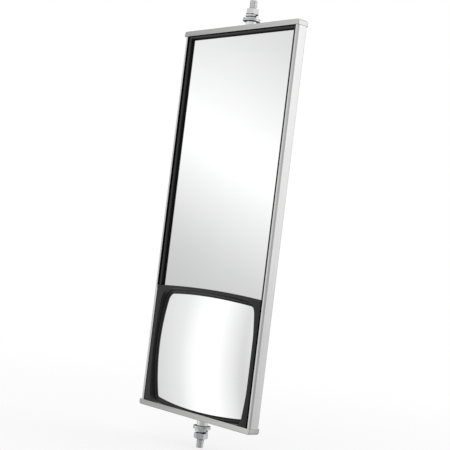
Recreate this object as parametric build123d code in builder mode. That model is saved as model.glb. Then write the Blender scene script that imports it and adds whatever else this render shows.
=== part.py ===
from build123d import *
import os
from math import hypot, sqrt

# Towing mirror head: a large flat mirror over a small convex mirror in a folded
# back shell, closed top and bottom by pressed end caps, each carrying one
# clamping stud.
#
# Frame: +Z up, the mirrors face -Y, +X is to the right of someone looking at
# the glass.  The origin is on the common axis of the two studs, half way up.
# All lengths are in millimetres.
#
# Name endings: _hw half width, _r radius, _d diameter, _t thickness, _h height,
# _od and _id outer and inner diameter, _af across flats, _y depth, _z height
# above the origin.

# ---- overall --------------------------------------------------------------
head_w = 177.8            # over the end caps, 7 in
head_h = 406.4            # over the end cap plates, 16 in
z_top = head_h / 2
crown_y = 16.5            # rearmost line of the end cap
front_y = -crown_y        # outer face of the end cap front lip
crown_r = 213.0           # plan radius of the crowned back
crown_cy = crown_y - crown_r
side_corner_r = 3.0       # plan radius where the side turns into the back
min_corner_r = 0.6

# ---- working allowances ---------------------------------------------------
through = 30.0            # extrusion that passes all the way to the front
gap = 0.05                # between stacked pieces, and round glass and pads

# ---- end caps -------------------------------------------------------------
cap_t = 1.0
cap_lip_h = 5.5           # front and side skirt
cap_skirt_rear_y = 2.0    # the shallow skirt reaches back to here
cap_skirt_cut = 40.0      # depth of the cut that shortens the skirt
cap_flange_h = 14.0       # riveted rear flange
cap_flange_hw = 62.0      # at the lower edge of the rear flange
cap_flange_slope = 7.0    # widening of the flange up to the skirt
cap_edge_r = 2.4
cap_front_edge_r = 0.8
stud_hole_d = 8.3
stud_hole_depth = 4.0

# ---- back shell -----------------------------------------------------------
shell_t = 0.8
shell_inset = cap_t + 0.15
shell_lip_in = 84.3       # half width between the folded front lips
shell_front_r = 2.0
shell_h = head_h - 2 * (cap_t + 0.1)

# ---- flat mirror ----------------------------------------------------------
flat_y = -10.7            # front face of the flat glass
flat_t = 3.0
flat_back_y = flat_y + flat_t
open_hw = 78.5            # half width of the visible opening
open_top = 193.9
open_bot_side = -73.3     # lower edge of the opening at its ends
open_bot_mid = -70.8      # and in the middle: the edge is arched
frame_cover = 3.9         # glass hidden under the gasket
edge_cover = 2.8          # glass hidden under the divider
flat_hw = open_hw + frame_cover
flat_top = open_top + frame_cover
flat_corner_r = 1.5
flat_bevel = 0.4

# ---- convex bezel ---------------------------------------------------------
bezel_face_y = -15.3
bezel_back_y = -4.7
bezel_top_side = -73.5    # top of the bezel beside the arched divider
step_t = 1.7              # outer step, in front of the glass
step_grow = 5.0           # its outline beyond the visible one
lip_t = 0.5               # feather lip over the edge of the glass
lip_grow = 2.4
pocket_ease = 0.1         # pocket and slot beyond the edge of the glass
relief_hw, relief_h = 40.0, 12.0

# ---- gasket around the flat mirror ----------------------------------------
gasket_hw = 86.6
gasket_face_hw = shell_lip_in - 0.2  # proud part, between the shell lips
gasket_seat_y = -14.4     # face behind the shell lips
gasket_face_y = -15.0
gasket_edge_y = -12.5     # front face at the edge of the opening
gasket_back_y = -6.6
gasket_top = 201.9
gasket_end = bezel_top_side + 0.1    # lower ends, just above the convex bezel
gasket_overrun = 10.0     # cuts run past the open lower ends
gasket_slope_side = 3.9   # width of the sloped face at the sides
gasket_slope_top = 3.4    # and at the top
gasket_slot_ease = 0.2
seat_ease = 1.2
bezel_bot = -gasket_top

# ---- convex mirror --------------------------------------------------------
convex_r = 380.0
convex_t = 2.2
convex_apex_y = -17.7
convex_z = -137.0
convex_cy = convex_apex_y + convex_r
convex_center = (0, convex_cy, convex_z)
vis_side_hw = 72.4        # visible outline: barrel of four arcs
vis_side_r = 350.0
vis_top_arc_r = 738.0
vis_bot_arc_r = 632.0
vis_top_mid = -78.4
vis_bot_mid = -195.5
vis_top_r = 9.0
vis_bot_r = 3.0
convex_cover = 2.6        # glass hidden under the bezel lip

# ---- backing board and foam pads ------------------------------------------
board_hw = 80.0
board_half_h = 190.0
board_corner_r = 6.0
board_front_y = -4.6
board_t = 1.5
pad_back_y = board_front_y - gap
flat_pad_hw, flat_pad_half_h, flat_pad_corner_r = 77.0, 126.0, 5.0
flat_pad_z = 58.0
convex_pad_hw, convex_pad_half_h, convex_pad_corner_r = 58.0, 46.0, 8.0

# ---- studs and clamping hardware, 5/16-18 UNC -----------------------------
stud_d = 7.94
stud_tip = 30.0           # beyond the end cap plate
stud_point = 0.9          # chamfered first thread
root_z = z_top + 20.6     # thread root just beyond the nut
root_w, root_depth = 0.9, 0.6
root_flat_hw = 0.1
head_af = 12.7
head_t = 5.3
head_bevel = 0.5
plate_x, plate_t = 64.0, 2.4
plate_front_y, plate_rear_y = -6.0, 12.5
plate_corner_r = 4.0
collar_od, collar_id, collar_h = 11.4, 8.2, 7.4
collar_edge_r = 0.35
washer_od, washer_id, washer_t = 18.0, 8.8, 1.6
washer_edge_r = 0.3
lock_od, lock_id, lock_t = 13.6, 8.3, 2.0
lock_rise = 1.75          # free height less the section height
lock_turn = 0.965         # part of a full turn
nut_af, nut_h = 12.7, 5.8
nut_bore_d = stud_d + 0.1  # running clearance over the stud
nut_turn = 19.3           # degrees, a corner towards the front right
nut_face_r = nut_af / 2 * 0.98   # cone that bevels the corners of the nut
nut_cone_r = nut_af / 2 * 1.20
nut_bevel_h = 0.75

# Heights in the upper stack, from the plate under the cap to the nut
plate_top = z_top - cap_t - gap
head_top = plate_top - plate_t - gap
inner_washer_z = z_top + collar_h + gap
outer_washer_z = inner_washer_z + washer_t + gap
lock_z = outer_washer_z + washer_t + gap
nut_z = lock_z + lock_t + lock_rise + gap + 0.15

# ---- rivets ---------------------------------------------------------------
rivet_x = 55.0
rivet_down = 9.0          # below the end cap plate
rivet_d = 4.0
rivet_head_d, rivet_head_h = 8.0, 1.2
rivet_head_flat_r = 0.6
rivet_head_lift = 0.05    # underside of the head above the cap
rivet_grip = 2.2          # plain shank below the surface
rivet_bulb_r = rivet_d / 2 + 0.7
rivet_bulb_start, rivet_bulb_end = 2.3, 4.4
rivet_tip_r = rivet_d / 2 - 0.4
rivet_depth = 5.6
rivet_hole_d = rivet_d + 0.1
rivet_hole_reach = 8.0    # length of the drill, centred on the surface


# ---------------------------------------------------------------------------
# Planes and outlines
# ---------------------------------------------------------------------------
def front_plane(y):
    """Upright plane at depth y: local x is X, local y is Z, normal is -Y."""
    return Plane(origin=(0, y, 0), x_dir=(1, 0, 0), z_dir=(0, -1, 0))


def rivet_plane(x, end):
    """Plane tangent to the crowned back of a cap at a rivet, end is +1 or -1."""
    y = crown_cy + sqrt(crown_r * crown_r - x * x)
    return Plane(
        origin=(x, y, end * (z_top - rivet_down)),
        x_dir=(0, 0, 1),
        z_dir=(x / crown_r, (y - crown_cy) / crown_r, 0),
    )


top_rivet_planes = [rivet_plane(x, 1) for x in (-rivet_x, 0.0, rivet_x)]
low_rivet_planes = [rivet_plane(x, -1) for x in (-rivet_x, 0.0, rivet_x)]


def centred_band(half_w, bottom, top):
    """Rectangle centred on local x = 0, added to the sketch being built."""
    with Locations((0, (bottom + top) / 2)):
        Rectangle(2 * half_w, top - bottom)


def head_outline(inset, front_r=0.0):
    """D-shaped plan of the head, moved inwards by inset."""
    half_w = head_w / 2 - inset
    fore_y = front_y + inset
    back_r = crown_r - inset
    side_y = crown_cy + sqrt(back_r * back_r - half_w * half_w)
    with BuildSketch() as plan:
        with BuildLine():
            Polyline((-half_w, side_y), (-half_w, fore_y), (half_w, fore_y), (half_w, side_y))
            ThreePointArc((half_w, side_y), (0, crown_cy + back_r), (-half_w, side_y))
        make_face()
        rear = plan.vertices().sort_by(Axis.Y)[-2:]
        fillet(rear, radius=max(side_corner_r - inset, min_corner_r))
        if front_r:
            fore = plan.vertices().group_by(Axis.Y)[0]
            fillet(fore, radius=front_r)
    return plan.sketch


def right_crossing(center_1, radius_1, center_2, radius_2):
    """Crossing of two circles that lies further to the right."""
    dx, dy = center_2[0] - center_1[0], center_2[1] - center_1[1]
    dist = hypot(dx, dy)
    along = (radius_1 * radius_1 - radius_2 * radius_2 + dist * dist) / (2 * dist)
    across = sqrt(radius_1 * radius_1 - along * along)
    foot_x = center_1[0] + along * dx / dist
    foot_y = center_1[1] + along * dy / dist
    return max(
        (foot_x + s * across * dy / dist, foot_y - s * across * dx / dist)
        for s in (-1, 1)
    )


def convex_outline(grow):
    """Barrel outline of the convex mirror, grown by grow on every side."""
    side_r = vis_side_r + grow
    side_center = (vis_side_hw - vis_side_r, convex_z)
    top_center = (0, vis_top_mid - vis_top_arc_r)
    bot_center = (0, vis_bot_mid + vis_bot_arc_r)
    top_x, top_z = right_crossing(side_center, side_r, top_center, vis_top_arc_r + grow)
    bot_x, bot_z = right_crossing(side_center, side_r, bot_center, vis_bot_arc_r + grow)
    half_w = vis_side_hw + grow
    with BuildSketch() as barrel:
        with BuildLine():
            ThreePointArc((-top_x, top_z), (-half_w, convex_z), (-bot_x, bot_z))
            ThreePointArc((-bot_x, bot_z), (0, vis_bot_mid - grow), (bot_x, bot_z))
            ThreePointArc((bot_x, bot_z), (half_w, convex_z), (top_x, top_z))
            ThreePointArc((top_x, top_z), (0, vis_top_mid + grow), (-top_x, top_z))
        make_face()
        fillet(barrel.vertices().sort_by(Axis.Y)[-2:], radius=vis_top_r + grow)
        fillet(barrel.vertices().sort_by(Axis.Y)[:2], radius=vis_bot_r + grow)
    return barrel.sketch


def bezel_outline(half_w):
    """Front outline of the convex bezel with its arched divider."""
    with BuildSketch() as outline:
        with BuildLine():
            Polyline(
                (-open_hw, bezel_top_side), (-half_w, bezel_top_side), (-half_w, bezel_bot),
                (half_w, bezel_bot), (half_w, bezel_top_side), (open_hw, bezel_top_side),
            )
            ThreePointArc(
                (open_hw, bezel_top_side),
                (0, open_bot_mid),
                (-open_hw, bezel_top_side),
            )
        make_face()
    return outline.sketch


def flat_glass_outline(grow):
    """Flat mirror: straight top and sides, gently arched lower edge."""
    half_w = flat_hw + grow
    drop = (flat_hw / open_hw) ** 2 * (open_bot_mid - open_bot_side)
    low_mid = open_bot_mid - edge_cover - grow
    low_side = low_mid - drop
    with BuildSketch() as pane:
        with BuildLine():
            Polyline(
                (-half_w, low_side), (-half_w, flat_top + grow),
                (half_w, flat_top + grow), (half_w, low_side),
            )
            ThreePointArc((half_w, low_side), (0, low_mid), (-half_w, low_side))
        make_face()
        fillet(pane.vertices().group_by(Axis.Y)[-1], radius=flat_corner_r)
    return pane.sketch


# ---------------------------------------------------------------------------
# Shell and end cap
# ---------------------------------------------------------------------------
def make_back_shell():
    """One sheet folded into a crowned back, two sides and two front lips."""
    with BuildPart() as shell:
        with BuildSketch(Plane.XY.offset(-shell_h / 2)):
            add(head_outline(shell_inset, shell_front_r))
            add(
                head_outline(shell_inset + shell_t, shell_front_r - shell_t),
                mode=Mode.SUBTRACT,
            )
            with Locations((0, front_y + shell_inset)):
                Rectangle(2 * shell_lip_in, 4 * shell_t, mode=Mode.SUBTRACT)
        extrude(amount=shell_h)
        # rivet holes through the back, three near each end
        with Locations(*top_rivet_planes, *low_rivet_planes):
            Cylinder(rivet_hole_d / 2, rivet_hole_reach, mode=Mode.SUBTRACT)
    return shell.part


def make_end_cap():
    """Pressed pan: shallow skirt in front and at the sides, deeper flange behind."""
    with BuildPart() as cap:
        with BuildSketch(Plane.XY.offset(z_top)):
            add(head_outline(0.0))
        extrude(amount=-cap_flange_h)
        brow = cap.faces().sort_by(Axis.Z)[-1].edges()
        fillet(brow.sort_by(Axis.Y)[1:], radius=cap_edge_r)
        brow = cap.faces().sort_by(Axis.Z)[-1].edges()
        fillet(brow.sort_by(Axis.Y)[0], radius=cap_front_edge_r)
        # hollow of the pan
        with BuildSketch(Plane.XY.offset(z_top - cap_t)):
            add(head_outline(cap_t))
        extrude(amount=-cap_flange_h, mode=Mode.SUBTRACT)
        # front and side skirt stop short
        with BuildSketch(Plane.XY.offset(z_top - cap_lip_h)):
            with Locations((0, cap_skirt_rear_y - cap_skirt_cut / 2)):
                Rectangle(head_w + 10, cap_skirt_cut)
        extrude(amount=-cap_flange_h, mode=Mode.SUBTRACT)
        # sloped ends of the rear flange, cut from just behind the crown
        cut_y = crown_y + 2
        with BuildSketch(front_plane(cut_y)):
            for side in (-1, 1):
                with BuildLine():
                    Polyline(
                        (side * (head_w / 2 + 5), z_top - cap_lip_h),
                        (side * (cap_flange_hw + cap_flange_slope), z_top - cap_lip_h),
                        (side * cap_flange_hw, z_top - cap_flange_h - 1),
                        (side * (head_w / 2 + 5), z_top - cap_flange_h - 1),
                        close=True,
                    )
                make_face()
        extrude(amount=cut_y - cap_skirt_rear_y, mode=Mode.SUBTRACT)
        with Locations((0, 0, z_top)):
            Hole(stud_hole_d / 2, depth=stud_hole_depth)
        with Locations(*top_rivet_planes):
            Cylinder(rivet_hole_d / 2, rivet_hole_reach, mode=Mode.SUBTRACT)
    return cap.part


# ---------------------------------------------------------------------------
# Flat mirror
# ---------------------------------------------------------------------------
def make_flat_glass():
    with BuildPart() as glass:
        with BuildSketch(front_plane(flat_back_y)):
            add(flat_glass_outline(0.0))
        extrude(amount=flat_t)
        chamfer(glass.faces().sort_by(Axis.Y)[0].edges(), length=flat_bevel)
    return glass.part


def make_flat_glass_gasket():
    """Rubber channel on the top and both sides of the flat glass."""
    cut_end = gasket_end - gasket_overrun
    with BuildPart() as gasket:
        with BuildSketch(front_plane(gasket_back_y)):
            centred_band(gasket_hw, gasket_end, gasket_top)
        extrude(amount=gasket_back_y - gasket_seat_y)
        # eased where it sits in the fold of the shell
        chamfer(
            gasket.faces().sort_by(Axis.Y)[0].edges().filter_by(Axis.Z),
            length=seat_ease,
        )
        with BuildSketch(front_plane(gasket_seat_y)):
            centred_band(gasket_face_hw, gasket_end, gasket_top)
        extrude(amount=gasket_seat_y - gasket_face_y)
        # sloped face running down to the edge of the opening
        with BuildSketch(front_plane(gasket_face_y)) as slope_front:
            centred_band(open_hw + gasket_slope_side, cut_end, open_top + gasket_slope_top)
        with BuildSketch(front_plane(gasket_edge_y)) as slope_rear:
            centred_band(open_hw, cut_end, open_top)
        loft(sections=[slope_front.sketch.face(), slope_rear.sketch.face()], mode=Mode.SUBTRACT)
        # opening through the front wall
        with BuildSketch(front_plane(0)):
            centred_band(open_hw, cut_end, open_top)
        extrude(amount=through, mode=Mode.SUBTRACT)
        # slot for the glass
        with BuildSketch(front_plane(flat_back_y + gap)):
            centred_band(flat_hw + gasket_slot_ease, cut_end, flat_top + gasket_slot_ease)
        extrude(amount=flat_t + 2 * gap, mode=Mode.SUBTRACT)
    return gasket.part


# ---------------------------------------------------------------------------
# Convex mirror
# ---------------------------------------------------------------------------
def make_convex_glass():
    """Spherical pane with a barrel outline."""
    with BuildPart() as glass:
        with BuildSketch(front_plane(0)):
            add(convex_outline(convex_cover))
        extrude(amount=through)
        with Locations(convex_center):
            Sphere(convex_r, mode=Mode.INTERSECT)
            Sphere(convex_r - convex_t, mode=Mode.SUBTRACT)
    return glass.part


def barrel_cutter(grow, sphere_r, sphere_mode):
    """Barrel block kept in front of the sphere (SUBTRACT) or inside it (INTERSECT)."""
    with BuildPart() as cutter:
        with BuildSketch(front_plane(0)):
            add(convex_outline(grow))
        extrude(amount=through)
        with Locations(convex_center):
            Sphere(sphere_r, mode=sphere_mode)
    return cutter.part


def make_convex_bezel():
    """Moulding round the convex mirror; its arched divider also holds the flat glass."""
    outer_dish = barrel_cutter(step_grow, convex_r + step_t, Mode.SUBTRACT)
    inner_dish = barrel_cutter(lip_grow, convex_r + lip_t, Mode.SUBTRACT)
    glass_pocket = barrel_cutter(convex_cover + pocket_ease, convex_r + gap, Mode.INTERSECT)
    with BuildPart() as bezel:
        with BuildSketch(front_plane(bezel_back_y)):
            add(bezel_outline(gasket_hw))
        extrude(amount=bezel_back_y - gasket_seat_y)
        # eased where it sits in the fold of the shell
        upright = bezel.faces().sort_by(Axis.Y)[0].edges().filter_by(Axis.Z)
        chamfer(upright.filter_by(lambda e: abs(e.center().X) > open_hw + 1), length=seat_ease)
        with BuildSketch(front_plane(gasket_seat_y)):
            add(bezel_outline(gasket_face_hw))
        extrude(amount=gasket_seat_y - bezel_face_y)
        add(outer_dish, mode=Mode.SUBTRACT)
        add(inner_dish, mode=Mode.SUBTRACT)
        # visible opening
        with BuildSketch(front_plane(0)):
            add(convex_outline(0.0))
        extrude(amount=through, mode=Mode.SUBTRACT)
        add(glass_pocket, mode=Mode.SUBTRACT)
        # slot in the divider for the lower edge of the flat glass
        with BuildSketch(front_plane(flat_back_y + gap)):
            add(flat_glass_outline(pocket_ease))
        extrude(amount=flat_t + 2 * gap, mode=Mode.SUBTRACT)
        # relief behind the lower edge for the stud plate and bolt head
        with BuildSketch(front_plane(0)):
            with Locations((0, bezel_bot + relief_h / 2)):
                Rectangle(2 * relief_hw, relief_h + 1)
        extrude(amount=-gasket_back_y, mode=Mode.SUBTRACT)
    return bezel.part


# ---------------------------------------------------------------------------
# Backing: foam behind each pane, one stiff board behind the foam
# ---------------------------------------------------------------------------
def make_backing_board():
    with BuildPart() as board:
        with BuildSketch(front_plane(board_front_y + board_t)):
            RectangleRounded(2 * board_hw, 2 * board_half_h, board_corner_r)
        extrude(amount=board_t)
    return board.part


def make_flat_backing_pad():
    with BuildPart() as pad:
        with BuildSketch(front_plane(pad_back_y)):
            with Locations((0, flat_pad_z)):
                RectangleRounded(2 * flat_pad_hw, 2 * flat_pad_half_h, flat_pad_corner_r)
        extrude(amount=pad_back_y - (flat_back_y + gap))
    return pad.part


def make_convex_backing_pad():
    with BuildPart() as pad:
        with BuildSketch(front_plane(pad_back_y)):
            with Locations((0, convex_z)):
                RectangleRounded(2 * convex_pad_hw, 2 * convex_pad_half_h, convex_pad_corner_r)
        extrude(amount=through)
        with Locations(convex_center):
            Sphere(convex_r - convex_t - gap, mode=Mode.INTERSECT)
    return pad.part


# ---------------------------------------------------------------------------
# Stud and clamping hardware, built for the upper end
# ---------------------------------------------------------------------------
def make_stud_plate():
    """Reinforcing plate inside the cap."""
    with BuildPart() as plate:
        with BuildSketch(Plane.XY.offset(plate_top - plate_t)):
            with Locations((0, (plate_front_y + plate_rear_y) / 2)):
                RectangleRounded(plate_x, plate_rear_y - plate_front_y, plate_corner_r)
            Circle(stud_hole_d / 2, mode=Mode.SUBTRACT)
        extrude(amount=plate_t)
    return plate.part


def make_stud():
    """Hex-head bolt, its head inside the cap."""
    stud_r = stud_d / 2
    root_mid = root_z + root_w / 2
    with BuildPart() as stud:
        with BuildSketch(Plane.XY.offset(head_top - head_t)):
            RegularPolygon(head_af / 2, 6, major_radius=False)
        extrude(amount=head_t)
        chamfer(stud.faces().sort_by(Axis.Z)[0].edges(), length=head_bevel)
        with BuildSketch(Plane.XY.offset(head_top)):
            Circle(stud_r)
        extrude(amount=z_top + stud_tip - head_top)
        chamfer(stud.faces().sort_by(Axis.Z)[-1].edges(), length=stud_point)
        # one thread root cut just beyond the nut sets off the free end
        with BuildSketch(Plane.XZ):
            with BuildLine():
                Polyline(
                    (stud_r + 1, root_z), (stud_r, root_z),
                    (stud_r - root_depth, root_mid - root_flat_hw),
                    (stud_r - root_depth, root_mid + root_flat_hw),
                    (stud_r, root_z + root_w), (stud_r + 1, root_z + root_w),
                    close=True,
                )
            make_face()
        revolve(axis=Axis.Z, mode=Mode.SUBTRACT)
    return stud.part


def make_collar():
    with BuildPart() as collar:
        with BuildSketch(Plane.XY.offset(z_top + gap)):
            Circle(collar_od / 2)
            Circle(collar_id / 2, mode=Mode.SUBTRACT)
        extrude(amount=collar_h - gap)
        fillet(collar.faces().sort_by(Axis.Z)[-1].edges(), radius=collar_edge_r)
    return collar.part


def make_plain_washer(bottom_z):
    with BuildPart() as washer:
        with BuildSketch(Plane.XY.offset(bottom_z)):
            Circle(washer_od / 2)
            Circle(washer_id / 2, mode=Mode.SUBTRACT)
        extrude(amount=washer_t)
        rims = washer.edges().filter_by(GeomType.CIRCLE).group_by(SortBy.RADIUS)[-1]
        fillet(rims, radius=washer_edge_r)
    return washer.part


def make_lock_washer():
    """One open coil: its two ends stand lock_rise apart."""
    coil_r = (lock_od + lock_id) / 4
    start_z = lock_z + lock_t / 2
    with BuildPart() as washer:
        with BuildLine():
            Helix(
                pitch=lock_rise / lock_turn,
                height=lock_rise,
                radius=coil_r,
                center=(0, 0, start_z),
            )
        with BuildSketch(Plane(origin=(coil_r, 0, start_z), x_dir=(1, 0, 0), z_dir=(0, 1, 0))):
            Rectangle((lock_od - lock_id) / 2, lock_t)
        sweep(is_frenet=True)
    return washer.part


def make_nut():
    """Hex nut, its corners bevelled by a double cone."""
    nut_top = nut_z + nut_h
    with BuildPart() as cone:
        with BuildSketch(Plane.XZ):
            with BuildLine():
                Polyline(
                    (0, nut_z), (nut_face_r, nut_z),
                    (nut_cone_r, nut_z + nut_bevel_h), (nut_cone_r, nut_top - nut_bevel_h),
                    (nut_face_r, nut_top), (0, nut_top),
                    close=True,
                )
            make_face()
        revolve(axis=Axis.Z)

    with BuildPart() as nut:
        with BuildSketch(Plane.XY.offset(nut_z)):
            RegularPolygon(nut_af / 2, 6, major_radius=False, rotation=nut_turn)
        extrude(amount=nut_h)
        add(cone.part, mode=Mode.INTERSECT)
        with Locations((0, 0, nut_top)):
            Hole(nut_bore_d / 2, depth=nut_h)
    return nut.part


def make_cap_rivets():
    """Three blind rivets that hold the rear flange of the cap to the shell."""
    head_r, shank_r = rivet_head_d / 2, rivet_d / 2
    with BuildPart() as rivets:
        for p in top_rivet_planes:
            with BuildSketch(Plane(origin=p.origin, x_dir=p.x_dir, z_dir=p.x_dir.cross(p.z_dir))):
                with BuildLine():
                    # half section: local x along the rivet's radius, y outward
                    Line((0, rivet_head_h), (rivet_head_flat_r, rivet_head_h))
                    ThreePointArc(
                        (rivet_head_flat_r, rivet_head_h),
                        (rivet_head_d * 0.33, rivet_head_h * 0.72),
                        (head_r, rivet_head_lift),
                    )
                    Polyline(
                        (head_r, rivet_head_lift), (shank_r, rivet_head_lift),
                        (shank_r, -rivet_grip), (rivet_bulb_r, -rivet_bulb_start),
                        (rivet_bulb_r, -rivet_bulb_end), (rivet_tip_r, -rivet_depth),
                        (0, -rivet_depth), (0, rivet_head_h),
                    )
                make_face()
            revolve(axis=Axis(p.origin, p.z_dir))
    return rivets.part


# ---------------------------------------------------------------------------
# Lower end
# ---------------------------------------------------------------------------
def mirrored(top_part):
    with BuildPart() as bottom:
        mirror(top_part, about=Plane.XY)
    return bottom.part


def end_for_end(top_part):
    """Copy turned half a turn about X."""
    with BuildPart() as bottom:
        with Locations(Location((0, 0, 0), (180, 0, 0))):
            add(top_part)
    return bottom.part


# ---------------------------------------------------------------------------
# All pieces, one file each
# ---------------------------------------------------------------------------
pieces = {
    "back_shell": make_back_shell(),
    "flat_glass": make_flat_glass(),
    "flat_glass_gasket": make_flat_glass_gasket(),
    "convex_glass": make_convex_glass(),
    "convex_bezel": make_convex_bezel(),
    "backing_board": make_backing_board(),
    "flat_backing_pad": make_flat_backing_pad(),
    "convex_backing_pad": make_convex_backing_pad(),
}

# name, upper piece, how the lower one is made from it
paired_pieces = (
    ("end_cap", make_end_cap(), mirrored),
    ("stud_plate", make_stud_plate(), mirrored),
    ("cap_rivets", make_cap_rivets(), mirrored),
    ("stud", make_stud(), end_for_end),
    ("collar", make_collar(), end_for_end),
    ("inner_washer", make_plain_washer(inner_washer_z), end_for_end),
    ("outer_washer", make_plain_washer(outer_washer_z), end_for_end),
    ("lock_washer", make_lock_washer(), end_for_end),
    ("nut", make_nut(), end_for_end),
)
for name, top_part, to_bottom in paired_pieces:
    pieces[f"top_{name}"] = top_part
    pieces[f"bottom_{name}"] = to_bottom(top_part)

os.makedirs("parts", exist_ok=True)
for name, part in pieces.items():
    part.label = name
    export_step(part, f"parts/{name}.step")
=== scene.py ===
"""Double mirror head: a flat mirror above a convex one in a stainless shell.

The head stands upright along Z, centred on the origin. X runs across it, to the right as seen
from the front. The mirrors face -Y, and the shell is at +Y. A threaded stud stands out of each
end. Geometry tables are in millimetres; materials, floor, lights and camera are in metres.
"""
import math

import bmesh
import bpy
from mathutils import Matrix, Vector

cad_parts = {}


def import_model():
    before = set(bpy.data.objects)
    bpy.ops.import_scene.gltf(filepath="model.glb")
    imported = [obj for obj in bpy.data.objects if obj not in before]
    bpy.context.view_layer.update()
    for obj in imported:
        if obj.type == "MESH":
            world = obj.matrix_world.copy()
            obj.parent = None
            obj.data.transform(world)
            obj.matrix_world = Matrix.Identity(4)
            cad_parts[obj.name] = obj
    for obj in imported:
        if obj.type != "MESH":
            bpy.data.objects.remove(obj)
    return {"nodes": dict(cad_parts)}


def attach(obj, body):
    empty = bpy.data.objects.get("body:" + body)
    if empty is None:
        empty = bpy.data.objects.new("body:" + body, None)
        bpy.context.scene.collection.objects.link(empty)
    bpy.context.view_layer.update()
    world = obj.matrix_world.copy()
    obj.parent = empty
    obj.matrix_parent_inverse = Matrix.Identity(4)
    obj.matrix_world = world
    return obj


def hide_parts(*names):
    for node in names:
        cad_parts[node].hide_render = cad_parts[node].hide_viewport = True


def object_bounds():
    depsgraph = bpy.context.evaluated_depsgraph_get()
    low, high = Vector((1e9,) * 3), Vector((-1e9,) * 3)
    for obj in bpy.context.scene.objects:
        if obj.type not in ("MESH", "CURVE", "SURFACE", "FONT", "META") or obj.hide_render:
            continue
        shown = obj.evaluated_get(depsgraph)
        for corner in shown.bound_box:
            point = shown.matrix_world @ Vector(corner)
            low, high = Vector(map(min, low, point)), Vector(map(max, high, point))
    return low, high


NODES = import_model()["nodes"]
CAD_BOX = [list(map(float, v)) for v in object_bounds()]
MM = 0.001
scene = bpy.context.scene

# ---------------------------------------------------------------------------
# Shared dimensions, mm
# ---------------------------------------------------------------------------
HEAD_HEIGHT = 406.4
# opening of the flat mirror: half width, top edge, lower end of the gasket legs
OPEN_HALF, OPEN_TOP, LEG_END = 78.5, 193.9, -73.4
# arched divider between the mirrors: height of its top edge at the sides and in the middle
ARCH_SIDE, ARCH_MID = -73.3, -70.8
# convex glass: front radius, thickness, height of its centre, depth of its foremost point
CONVEX_R, CONVEX_T, CONVEX_Z, CONVEX_APEX = 380.0, 2.2, -137.0, -17.7
CONVEX_CENTRE_Y = CONVEX_APEX + CONVEX_R
# its visible outline: half width, mid heights of head and foot, radii of edges and corners
SIDE_HALF, TOP_MID, BOTTOM_MID = 72.4, -78.4, -195.5
SIDE_R, TOP_R, BOTTOM_R = 350.0, 738.0, 632.0
TOP_FILLET, BOTTOM_FILLET = 9.0, 3.0

# ---------------------------------------------------------------------------
# Node helpers
# ---------------------------------------------------------------------------


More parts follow.
